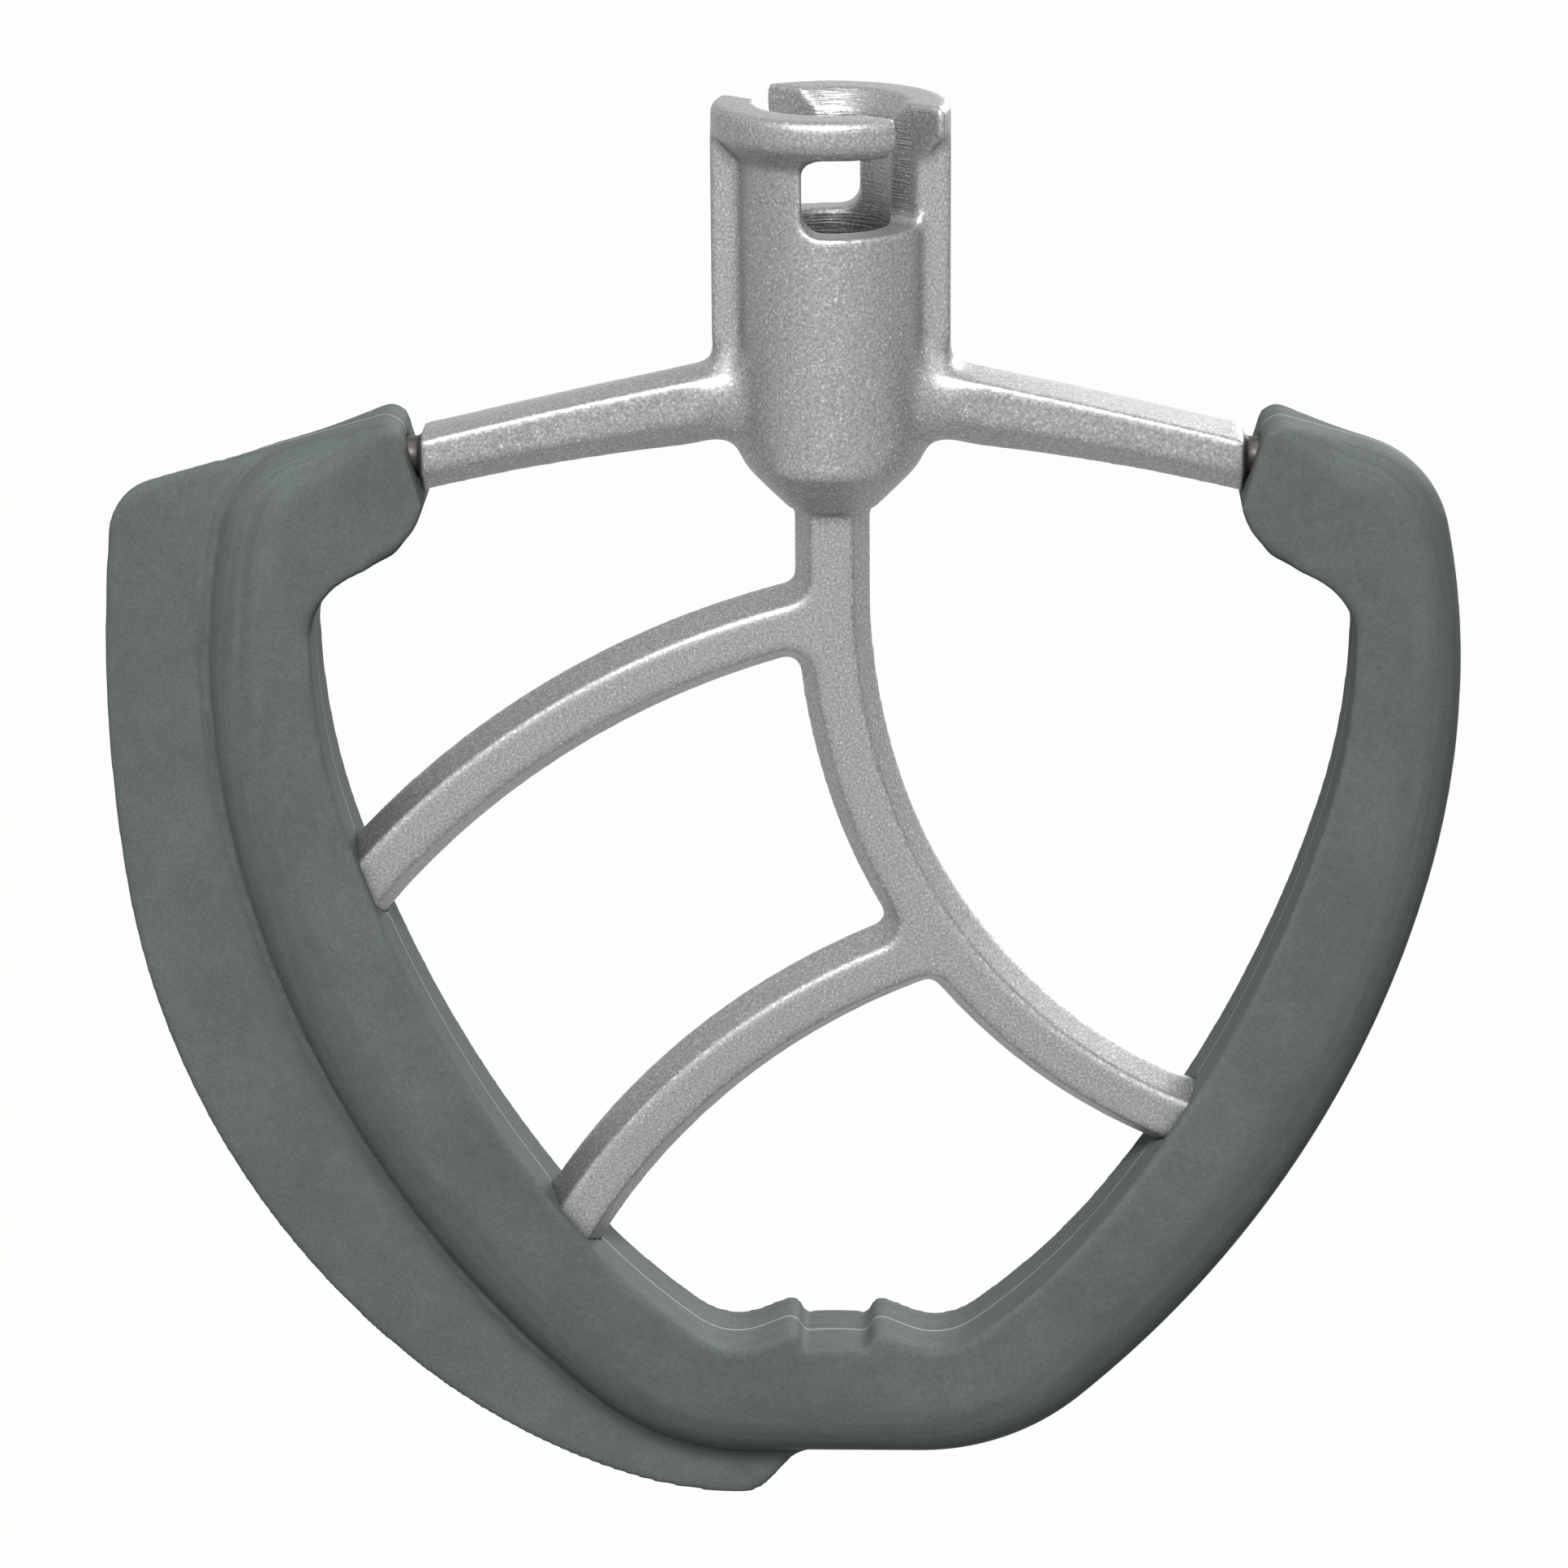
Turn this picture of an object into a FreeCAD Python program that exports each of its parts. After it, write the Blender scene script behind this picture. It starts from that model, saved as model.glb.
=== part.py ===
import FreeCAD, Part
import math
import os
from FreeCAD import Placement, Rotation, Vector

# Pastry beater for a stand mixer. Z is the axis of the mixer's shaft and front is
# -Y. Everything is drawn down from the middle of the collar's top face, and the
# two finished pieces are then raised by seat_level, which puts the origin in the
# bore, half way down its full round wall. Lengths are in millimetres.

SIZES = [
    # hub: bored post with a bayonet collar
    ("seat_level", 23.0),
    ("collar_radius", 12.6),
    ("collar_wall", 3.0),
    ("collar_edge", 0.6),
    ("post_radius", 9.93),
    ("post_length", 38.3),
    ("tail_radius", 4.7),
    ("bore_radius", 6.2),
    ("bore_depth", 34.0),
    ("funnel_radius", 8.2),
    ("funnel_depth", 2.1),
    # bayonet slots for the shaft's cross pin
    ("slot_width", 7.4),
    ("slot_turn", 52.0),
    ("slot_floor", 12.7),
    ("slot_roof", 4.3),
    ("window_side", 2.95),
    ("slot_corner", 2.2),
    ("entry_corner", 1.3),
    # flat ribs that carry the collar down to the arms
    ("rib_thickness", 4.8),
    ("rib_bottom", 30.0),
    # arms: octagonal, deeper at the hub than at the rim
    ("arm_thickness", 8.4),
    ("arm_end", 43.6),
    ("arm_mid", 27.0),
    ("arm_root", 8.0),
    ("arm_root_flat", 1.1),
    ("arm_root_top", 26.6),
    ("arm_root_upper_slope", 1.3),
    ("arm_root_lower_slope", 3.4),
    ("arm_root_bottom", 36.1),
    ("arm_mid_flat", 0.85),
    ("arm_mid_top", 31.2),
    ("arm_mid_upper_slope", 0.5),
    ("arm_mid_lower_slope", 2.7),
    ("arm_mid_bottom", 38.4),
    ("arm_end_flat", 1.7),
    ("arm_end_top", 35.0),
    ("arm_end_upper_slope", 0.7),
    ("arm_end_lower_slope", 2.5),
    ("arm_end_bottom", 41.6),
    ("arm_fillet", 2.4),
    ("neck_size", 4.2),
    ("neck_level", 38.2),
    # flat-faced spokes with sloping sides
    ("web_thickness", 7.6),
    ("spoke_width", 8.1),
    ("side_slope", 1.85),
    ("parting_land", 0.3),
    ("valley_radius", 1.4),
    ("spoke_drop", 52.67),
    ("spoke_radius", 73.2),
    ("spoke_turn", 18.24),
    ("spoke_radius_low", 60.48),
    ("bar_width", 8.0),
    ("bar_one_radius", 93.67),
    ("bar_one_x", 20.15),
    ("bar_one_z", 146.5),
    ("bar_two_radius", 76.58),
    ("bar_two_x", 36.4),
    ("bar_two_z", 164.9),
    # rim: silicone over a cast core
    ("rim_thickness", 11.5),
    ("rim_inside", 55.8),
    ("rim_inside_level", 57.5),
    ("inside_radius_a", 73.2),
    ("inside_turn_a", 16.6),
    ("inside_radius_b", 139.6),
    ("inside_turn_b", 20.8),
    ("inside_radius_c", 73.1),
    ("floor_level", 139.1),
    ("trough_radius", 7.0),
    ("trough_rise", 23.0),
    ("crest_level", 137.3),
    ("crest_radius", 1.3),
    ("notch_crown", 0.25),
    ("rim_outside", 67.45),
    ("rim_outside_level", 62.6),
    ("outside_radius_a", 93.4),
    ("outside_turn_a", 14.0),
    ("outside_radius_b", 120.0),
    ("outside_turn_b", 34.8),
    ("outside_radius_c", 27.0),
    ("shoulder_radius", 82.0),
    ("corner_radius", 12.3),
    ("top_level", 33.5),
    ("top_at", 47.3),
    ("top_slope", 15.9),
    ("outer_round", 5.3),
    ("end_edge", 0.6),
    ("cover", 3.0),
    ("core_end", 49.6),
    ("root_depth", 6.8),
    # ends of the rim beside the necks
    ("end_corner", 1.3),
    ("end_bulge_x", 43.4),
    ("end_bulge_level", 42.4),
    ("end_bulge", 0.35),
    ("end_step_x", 45.4),
    ("end_step_level", 46.3),
    ("armpit_radius", 8.0),
    ("underside_slope", 26.0),
    ("chin_x", 46.5),
    # thin scraper fin on the left side
    ("fin_thickness", 1.5),
    ("fin_outside", 78.7),
    ("fin_level", 65.1),
    ("fin_radius_a", 173.3),
    ("fin_turn_a", 7.0),
    ("fin_radius_b", 89.8),
    ("fin_turn_b", 41.5),
    ("fin_radius_c", 71.6),
    ("fin_turn_c", 21.5),
    ("fin_radius_d", 44.0),
    ("fin_tail_bend", 3.6),
    ("fin_corner", 6.5),
    ("fin_tail_x", 11.0),
    ("fin_tail_radius", 4.5),
    ("fin_tail_slope", 47.0),
    ("fin_sink", 0.3),
    ("fin_root_radius", 3.0),
    ("root_bite", 0.05),
]

doc = FreeCAD.newDocument("pastry_beater")
sheet = doc.addObject("Spreadsheet::Sheet", "Sizes")
for row, (alias, value) in enumerate(SIZES, start=1):
    sheet.set("A%d" % row, alias)
    sheet.set("B%d" % row, str(value))
    sheet.setAlias("B%d" % row, alias)
doc.recompute()
S = {alias: float(sheet.get(alias)) for alias, value in SIZES}


def bind(obj, prop, text):
    obj.setExpression(prop, text)


def plane(body, role):
    return [f for f in body.Origin.OriginFeatures if f.Role == role][0]


def new_body(name):
    body = doc.addObject("PartDesign::Body", name)
    body.Label = name
    return body


def new_sketch(body, name, role, offset=None):
    sketch = body.newObject("Sketcher::SketchObject", name)
    sketch.AttachmentSupport = [(plane(body, role), "")]
    sketch.MapMode = "FlatFace"
    if offset is not None:
        sketch.AttachmentOffset = offset
    return sketch


def polar(angle):
    a = math.radians(angle)
    return Vector(math.cos(a), math.sin(a), 0)


def flip(points):
    """The same run of segments mirrored in the shaft's axis, walked backwards."""
    out = []
    for seg in reversed(points):
        out.append([Vector(-p.x, p.y, 0) for p in reversed(seg)])
    return out


def arc(centre, radius, start, end):
    """Three points of an arc from one angle to another."""
    middle = (start + end) / 2.0
    return [centre + polar(a) * radius for a in (start, middle, end)]


def draw(sketch, segments):
    """Lines and arcs, end to end, each joined to the next."""
    ids = []
    for seg in segments:
        if len(seg) == 2:
            ids.append(sketch.addGeometry(Part.LineSegment(seg[0], seg[1]), False))
        else:
            ids.append(sketch.addGeometry(Part.Arc(seg[0], seg[1], seg[2]), False))
    return ids


def closed(points):
    return [[p, points[(i + 1) % len(points)]] for i, p in enumerate(points)]


def on_side(shape, test):
    """Names of the edges for which the test holds."""
    return ["Edge%d" % (i + 1) for i, e in enumerate(shape.Edges) if test(e)]


def middle(edge):
    return edge.valueAt((edge.FirstParameter + edge.LastParameter) / 2.0)


# Outlines of the rim, right half, as chains of tangent arcs. A positive offset
# moves the outline into the silicone, which gives the core its cover.

def inside_chain(offset=0.0):
    """From the armpit's tangent point down to the middle of the floor."""
    r1 = S["inside_radius_a"]
    r2 = S["inside_radius_b"]
    r3 = S["inside_radius_c"]
    t1 = S["inside_turn_a"]
    t2 = t1 + S["inside_turn_b"]
    c1 = Vector(S["rim_inside"] - r1, -S["rim_inside_level"], 0)
    c2 = c1 + polar(-t1) * (r1 - r2)
    c3 = c2 + polar(-t2) * (r2 - r3)
    rt = S["trough_radius"]
    ct_z = rt - S["floor_level"]
    ct = Vector(c3.x + math.sqrt((r3 - rt) ** 2 - (c3.y - ct_z) ** 2), ct_z, 0)
    t3 = math.degrees(math.atan2(c3.y - ct.y, ct.x - c3.x))
    segs = [arc(c1, r1 + offset, 0, -t1), arc(c2, r2 + offset, -t1, -t2)]
    segs.append(arc(c3, r3 + offset, -t2, -t3))
    return segs, ct, t3


def outside_chain(offset=0.0):
    """From the middle of the bottom up to the start of the shoulder."""
    r1 = S["outside_radius_a"]
    r2 = S["outside_radius_b"]
    r3 = S["outside_radius_c"]
    t1 = S["outside_turn_a"]
    t2 = t1 + S["outside_turn_b"]
    c1 = Vector(S["rim_outside"] - r1, -S["rim_outside_level"], 0)
    c2 = c1 + polar(-t1) * (r1 - r2)
    c3 = c2 + polar(-t2) * (r2 - r3)
    segs = [arc(c3, r3 - offset, -90, -t2), arc(c2, r2 - offset, -t2, -t1)]
    segs.append(arc(c1, r1 - offset, -t1, 0))
    return segs


def top_line_corner(side_centre, side_radius, radius):
    """Centre of the arc that touches the sloping top line and the side arc."""
    slope = -S["top_slope"]
    along = polar(slope)
    normal = polar(slope + 90)
    base = Vector(S["top_at"], -S["top_level"], 0) - normal * radius
    rel = base - side_centre
    b = rel.dot(along)
    c = rel.dot(rel) - (side_radius - radius) ** 2
    centre = base + along * (-b + math.sqrt(b * b - c))
    out = centre - side_centre
    start = math.degrees(math.atan2(out.y, out.x))
    return centre, start, slope + 90


def shoulder(offset=0.0):
    """From the side's tangent point over the corner to the top line's far end."""
    r = S["shoulder_radius"]
    c = Vector(S["rim_outside"] - r, -S["rim_outside_level"], 0)
    cc, a0, a1 = top_line_corner(c, r, S["corner_radius"])
    return [arc(c, r - offset, 0, a0), arc(cc, S["corner_radius"] - offset, a0, a1)]


def rim_end():
    """From the top line round the end beside the neck to the armpit."""
    slope = -S["top_slope"]
    along = polar(slope)
    base = Vector(S["top_at"], -S["top_level"], 0)
    bulge = Vector(S["end_bulge_x"], -S["end_bulge_level"], 0)
    # end face: from the bulge up to the corner, touching the corner's arc
    r = S["end_corner"]
    centre = base - polar(slope + 90) * r
    far = bulge - centre
    dist = far.Length
    turn = math.degrees(math.acos(r / dist))
    a1 = math.degrees(math.atan2(far.y, far.x)) - turn
    if a1 < 0:
        a1 += 360
    bevel = arc(centre, r, slope + 90, a1)
    step = Vector(S["end_step_x"], -S["end_step_level"], 0)
    across = (step - bulge).normalize()
    crown = (bulge + step) * 0.5 + Vector(across.y, -across.x, 0) * S["end_bulge"]
    run = [[bevel[0], bevel[2]], [bevel[2], bulge], [bulge, crown, step]]
    return base, run


def rim_underside(offset=0.0):
    """The armpit arc and the line under the end, walked from the end down."""
    r = S["armpit_radius"]
    level = -S["rim_inside_level"]
    c = Vector(S["rim_inside"] - r, level, 0)
    a = 90 - S["underside_slope"]
    armpit = arc(c, r + offset, a, 0)
    start = armpit[0]
    back = polar(a + 90)
    chin = start + back * ((start.x - S["chin_x"]) / -back.x)
    return chin, armpit


# Cast frame: hub, arms and necks.

frame = new_body("hub_and_arms")
profile = new_sketch(frame, "hub_profile", "XZ_Plane")
collar_edge = S["collar_edge"]
cr = S["collar_radius"]
pr = S["post_radius"]
br = S["bore_radius"]
chamfer_foot = -S["collar_wall"] - (cr - pr)
tail = -S["post_length"] - (pr - S["tail_radius"])
outline = [
    Vector(cr, -collar_edge, 0),
    Vector(cr, -S["collar_wall"], 0),
    Vector(pr, chamfer_foot, 0),
    Vector(pr, -S["post_length"], 0),
    Vector(S["tail_radius"], tail, 0),
    Vector(0, tail, 0),
    Vector(0, -S["bore_depth"], 0),
    Vector(br, -S["bore_depth"], 0),
    Vector(br, -S["funnel_depth"], 0),
    Vector(S["funnel_radius"], 0, 0),
    Vector(cr - collar_edge, 0, 0),
]
draw(profile, closed(outline))
hub = frame.newObject("PartDesign::Revolution", "hub")
hub.Profile = profile
hub.ReferenceAxis = (profile, ["V_Axis"])
hub.Angle = 360

rib_sketch = new_sketch(frame, "rib_outline", "XZ_Plane")
for side in (1, -1):
    x0 = side * (pr + br) / 2.0
    x1 = side * cr
    z0 = -S["collar_wall"]
    z1 = -S["rib_bottom"]
    box = [Vector(x0, z0, 0), Vector(x1, z0, 0), Vector(x1, z1, 0), Vector(x0, z1, 0)]
    draw(rib_sketch, [[box[i], box[(i + 1) % 4]] for i in range(4)])
ribs = frame.newObject("PartDesign::Pad", "ribs")
ribs.Profile = rib_sketch
ribs.SideType = 2
bind(ribs, "Length", "Sizes.rib_thickness")

# Each arm is lofted through three octagons that stand across it: inside the
# hub's wall, half way along and at the shoulder before the neck.

def octagon(key):
    t = S["arm_thickness"] / 2.0
    flat = S[key + "_flat"]
    top = -S[key + "_top"]
    face_top = top - S[key + "_upper_slope"]
    bottom = -S[key + "_bottom"]
    face_low = bottom + S[key + "_lower_slope"]
    corners = [(-flat, top), (flat, top), (t, face_top), (t, face_low)]
    corners += [(flat, bottom), (-flat, bottom), (-t, face_low), (-t, face_top)]
    return [Vector(y, z, 0) for y, z in corners]


for side, name in ((1, "right"), (-1, "left")):
    sketches = []
    for key in ("arm_root", "arm_mid", "arm_end"):
        off = Placement(Vector(0, 0, side * S[key]), Rotation())
        sk = new_sketch(frame, "%s_%s" % (key, name), "YZ_Plane", off)
        draw(sk, closed(octagon(key)))
        bind(sk, "AttachmentOffset.Base.z", "%d * Sizes.%s" % (side, key))
        sketches.append(sk)
    loft = frame.newObject("PartDesign::AdditiveLoft", "arm_" + name)
    loft.Profile = sketches[0]
    loft.Sections = sketches[1:]
    loft.Ruled = False

    off = Placement(Vector(0, 0, side * (S["arm_end"] - 1.0)), Rotation())
    sk = new_sketch(frame, "neck_section_" + name, "YZ_Plane", off)
    half = S["neck_size"] / 2.0
    k = half * math.tan(math.radians(22.5))
    ring = [(-k, half), (k, half), (half, k), (half, -k)]
    ring += [(k, -half), (-k, -half), (-half, -k), (-half, k)]
    draw(sk, closed([Vector(y, z - S["neck_level"], 0) for y, z in ring]))
    neck = frame.newObject("PartDesign::Pad", "neck_" + name)
    neck.Profile = sk
    neck.Reversed = side < 0
    bind(neck, "Length", "Sizes.core_end - Sizes.arm_end + 3")
doc.recompute()


side_top = -S["arm_root_top"] - S["arm_root_upper_slope"]


def at_arm_root(e):
    """True where an arm's side or lower slope meets the round post."""
    ends = [e.valueAt(e.FirstParameter), e.valueAt(e.LastParameter), middle(e)]
    for p in ends:
        if abs(math.hypot(p.x, p.y) - pr) > 0.02:
            return False
        if abs(p.y) > S["arm_thickness"] / 2.0 + 0.05 or abs(p.x) < 5:
            return False
        if not -S["arm_root_bottom"] - 1.0 < p.z < side_top:
            return False
    return abs(middle(e).y) > S["arm_root_flat"] + 0.1


names = on_side(frame.Shape, at_arm_root)
fair = frame.newObject("PartDesign::Fillet", "arm_root_fillets")
fair.Base = (neck, names)
bind(fair, "Radius", "Sizes.arm_fillet")
doc.recompute()

# Bayonet: a straight way in from the top, then a closed window on the left of
# each way in, the second pair half a turn round from the first.
entry_sketch = new_sketch(
    frame, "entry_outline", "XZ_Plane",
    Placement(Vector(), Rotation(Vector(0, 1, 0), S["slot_turn"])))
w = S["slot_width"] / 2.0
ec = S["entry_corner"]
fl = -S["slot_floor"]
draw(entry_sketch, [
    [Vector(-w, 1, 0), Vector(-w, fl + ec, 0)],
    arc(Vector(-w + ec, fl + ec, 0), ec, 180, 270),
    [Vector(-w + ec, fl, 0), Vector(w - ec, fl, 0)],
    arc(Vector(w - ec, fl + ec, 0), ec, 270, 360),
    [Vector(w, fl + ec, 0), Vector(w, 1, 0)],
    [Vector(w, 1, 0), Vector(-w, 1, 0)],
])
entry = frame.newObject("PartDesign::Pocket", "pin_entry")
entry.Profile = entry_sketch
entry.SideType = 2
bind(entry, "Length", "Sizes.collar_radius * 2 + 4")
doc.recompute()

window_sketch = new_sketch(
    frame, "window_outline", "XZ_Plane", Placement(Vector(0, 0, 1.0), Rotation()))
sc = S["slot_corner"]
rf = -S["slot_roof"]
reach = br + 0.8
ws = -S["window_side"]
draw(window_sketch, [
    [Vector(ws + sc, rf, 0), Vector(reach, rf, 0)],
    [Vector(reach, rf, 0), Vector(reach, fl, 0)],
    [Vector(reach, fl, 0), Vector(ws + sc, fl, 0)],
    arc(Vector(ws + sc, fl + sc, 0), sc, 270, 180),
    [Vector(ws, fl + sc, 0), Vector(ws, rf - sc, 0)],
    arc(Vector(ws + sc, rf - sc, 0), sc, 180, 90),
])
window = frame.newObject("PartDesign::Pocket", "pin_window")
window.Profile = window_sketch
window.Reversed = True
bind(window, "Length", "Sizes.collar_radius + 2")
turned = frame.newObject("PartDesign::PolarPattern", "pin_windows")
turned.Originals = [window]
turned.Axis = (plane(frame, "Z_Axis"), [""])
turned.Angle = 360
turned.Occurrences = 2
frame.Tip = turned
doc.recompute()

# Spokes: one flat web of three bars, filleted in the valleys and sloped on
# both faces, and the core that carries the silicone.

web = new_body("spokes")


def chain_depth(p):
    """How far a point lies past the rim's inside outline."""
    p = Vector(abs(p.x), p.y, 0)
    r1 = S["inside_radius_a"]
    r2 = S["inside_radius_b"]
    r3 = S["inside_radius_c"]
    t1 = S["inside_turn_a"]
    t2 = t1 + S["inside_turn_b"]
    c1 = Vector(S["rim_inside"] - r1, -S["rim_inside_level"], 0)
    c2 = c1 + polar(-t1) * (r1 - r2)
    c3 = c2 + polar(-t2) * (r2 - r3)
    below = math.degrees(math.atan2(c2.y - p.y, p.x - c2.x))
    if below > t2:
        return (p - c3).Length - r3
    if below > t1:
        return (p - c2).Length - r2
    return (p - c1).Length - r1


def reach_angle(centre, radius, start, turn):
    """Angle at which a bar's middle line is well inside the core."""
    low, high = start, start + turn
    for i in range(40):
        mid = (low + high) / 2.0
        if chain_depth(centre + polar(mid) * radius) < S["root_depth"]:
            low = mid
        else:
            high = mid
    return low


def band(centre, radius, width, start, end):
    """Closed outline of a bar that follows an arc."""
    h = width / 2.0
    outer = arc(centre, radius + h, start, end)
    inner = arc(centre, radius - h, end, start)
    return [outer, [outer[2], inner[0]], inner, [inner[2], outer[0]]]


ra = S["spoke_radius"]
rb = S["spoke_radius_low"]
turn = S["spoke_turn"]
drop = -S["spoke_drop"]
ca = Vector(ra, drop, 0)
cb = ca + polar(180 + turn) * (ra - rb)
spoke_end = reach_angle(cb, rb, 220, 50)
half = S["spoke_width"] / 2.0
top_z = tail + 2.0
left_a = arc(ca, ra + half, 180, 180 + turn)
left_b = arc(cb, rb + half, 180 + turn, spoke_end)
right_b = arc(cb, rb - half, spoke_end, 180 + turn)
right_a = arc(ca, ra - half, 180 + turn, 180)
spoke_outline = [
    [Vector(-half, top_z, 0), left_a[0]], left_a, left_b,
    [left_b[2], right_b[0]], right_b, right_a,
    [right_a[2], Vector(half, top_z, 0)],
    [Vector(half, top_z, 0), Vector(-half, top_z, 0)],
]


def meet_spoke(centre, radius, low, high):
    """Angle at which a bar's middle line starts, on the spoke's middle line."""
    for i in range(40):
        mid = (low + high) / 2.0
        p = centre + polar(mid) * radius
        if p.y > drop:
            inside = p.x > 0
        elif math.degrees(math.atan2(ca.y - p.y, ca.x - p.x)) < turn:
            inside = (p - ca).Length < ra
        else:
            inside = (p - cb).Length < rb
        if inside:
            low = mid
        else:
            high = mid
    return low


bars = []
for key in ("bar_one", "bar_two"):
    c = Vector(S[key + "_x"], -S[key + "_z"], 0)
    r = S[key + "_radius"]
    start = meet_spoke(c, r, 60, 130)
    end = reach_angle(c, r, 125, 50)
    bars.append(band(c, r, S["bar_width"], start, end))

for name, segs in (("spoke", spoke_outline), ("bar_one", bars[0]), ("bar_two", bars[1])):
    sk = new_sketch(web, name + "_outline", "XZ_Plane")
    draw(sk, segs)
    pad = web.newObject("PartDesign::Pad", name)
    pad.Profile = sk
    pad.SideType = 2
    bind(pad, "Length", "Sizes.web_thickness")
doc.recompute()

ends = [Vector(s[0].x, s[0].y, 0) for s in spoke_outline]
for segs in bars:
    ends += [s[0] for s in segs]


def is_end(p):
    return any((Vector(p.x, p.z, 0) - q).Length < 0.01 for q in ends)


def in_valley(e):
    d = e.valueAt(e.LastParameter) - e.valueAt(e.FirstParameter)
    return abs(abs(d.y) - S["web_thickness"]) < 0.01 and not is_end(middle(e))


names = on_side(web.Shape, in_valley)
valleys = web.newObject("PartDesign::Fillet", "valleys")
valleys.Base = (pad, names)
bind(valleys, "Radius", "Sizes.valley_radius")
doc.recompute()

short = [e for e in (spoke_outline[3], spoke_outline[7], bars[0][1], bars[1][1])]
short = [(s[0] + s[1]) * 0.5 for s in short]


def on_face(e):
    m = middle(e)
    if abs(abs(m.y) - S["web_thickness"] / 2.0) > 0.001:
        return False
    d = e.valueAt(e.LastParameter) - e.valueAt(e.FirstParameter)
    if abs(d.y) > 0.001:
        return False
    return all((Vector(m.x, m.z, 0) - q).Length > 0.05 for q in short)


# A slope takes side_slope off the flat face and runs down to the parting land.
fall = (S["web_thickness"] - S["parting_land"]) / 2.0
sides = []
for i, e in enumerate(web.Shape.Edges):
    if on_face(e):
        first = web.Shape.ancestorsOfType(e, Part.Face)[0]
        flat_first = isinstance(first.Surface, Part.Plane) and abs(first.normalAt(0, 0).y) > 0.9
        pair = (S["side_slope"], fall) if flat_first else (fall, S["side_slope"])
        sides.append((i + 1,) + pair)
slopes = doc.addObject("Part::Chamfer", "sloping_sides")
slopes.Base = web
slopes.Edges = sides
doc.recompute()


def core_outline():
    """The core: the rim's outline, drawn in by the silicone's cover."""
    cover = S["cover"]
    segs, ct, t3 = inside_chain(cover)
    trough = arc(ct, S["trough_radius"] + cover, -t3, -90)
    chin, armpit = rim_underside(cover)
    back = polar(180 - S["underside_slope"])
    x = S["core_end"]
    low = armpit[0] + back * ((armpit[0].x - x) / -back.x)
    right = outside_chain(cover) + shoulder(cover)
    last = right[-1][2]
    along = polar(180 - S["top_slope"])
    high = last + along * ((last.x - x) / -along.x)
    right += [[last, high], [high, low], [low, armpit[0]], armpit] + segs + [trough]
    bottom = right[0][0]
    inner = right[-1][2]
    left = flip(right)
    mirror = Vector(-inner.x, inner.y, 0)
    return right + [[inner, mirror]] + left + [[Vector(-bottom.x, bottom.y, 0), bottom]]


core_body = new_body("rim_core")
core_sketch = new_sketch(core_body, "core_outline", "XZ_Plane")
draw(core_sketch, core_outline())
core = core_body.newObject("PartDesign::Pad", "core")
core.Profile = core_sketch
core.SideType = 2
bind(core, "Length", "Sizes.rim_thickness - 2 * Sizes.cover")
doc.recompute()

cast = doc.addObject("Part::MultiFuse", "cast_in_place")
cast.Shapes = [frame, slopes, core_body]
cast.Refine = True
doc.recompute()

# Silicone edge: the rim's tube with its two square ends, and the fin.


def tube_outline():
    segs, ct, t3 = inside_chain()
    rt = S["trough_radius"]
    rise = S["trough_rise"]
    base, end_run = rim_end()
    chin, armpit = rim_underside()
    right = outside_chain() + shoulder()
    right.append([right[-1][2], base])
    right += end_run
    right.append([end_run[-1][2], chin])
    right.append([chin, armpit[0]])
    right.append(armpit)
    right += segs
    trough = arc(ct, rt, -t3, -90 - rise)
    right.append(trough)
    # up to the crest beside the notch, over it and down to the notch's floor
    cr_ = S["crest_radius"]
    cc_y = -S["crest_level"] - cr_
    up = polar(180 - rise)
    touch_y = cc_y + cr_ * math.cos(math.radians(rise))
    touch = trough[2] + up * ((touch_y - trough[2].y) / up.y)
    cc = Vector(touch.x - cr_ * math.sin(math.radians(rise)), cc_y, 0)
    right.append([trough[2], touch])
    crest = arc(cc, cr_, 90 - rise, 180)
    right.append(crest)
    floor = Vector(crest[2].x, -S["floor_level"], 0)
    right.append([crest[2], floor])
    left = flip(right)
    crown = Vector(0, floor.y + S["notch_crown"], 0)
    right.append([floor, crown, Vector(-floor.x, floor.y, 0)])
    bottom = right[0][0]
    return right + left + [[Vector(-bottom.x, bottom.y, 0), bottom]]


tube_body = new_body("silicone_tube")
tube_sketch = new_sketch(tube_body, "tube_outline", "XZ_Plane")
draw(tube_sketch, tube_outline())
tube = tube_body.newObject("PartDesign::Pad", "tube")
tube.Profile = tube_sketch
tube.SideType = 2
bind(tube, "Length", "Sizes.rim_thickness")
doc.recompute()


def near(p, segs):
    """True where a point of the front or back face lies on one of these."""
    q = Part.Vertex(Vector(abs(p.x), p.z, 0))
    for s in segs:
        line = Part.LineSegment(*s) if len(s) == 2 else Part.Arc(*s)
        if line.toShape().distToShape(q)[0] < 0.01:
            return True
    return False


def face_edge(e):
    m = middle(e)
    d = e.valueAt(e.LastParameter) - e.valueAt(e.FirstParameter)
    return abs(abs(m.y) - S["rim_thickness"] / 2.0) < 0.001 and abs(d.y) < 0.001


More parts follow.
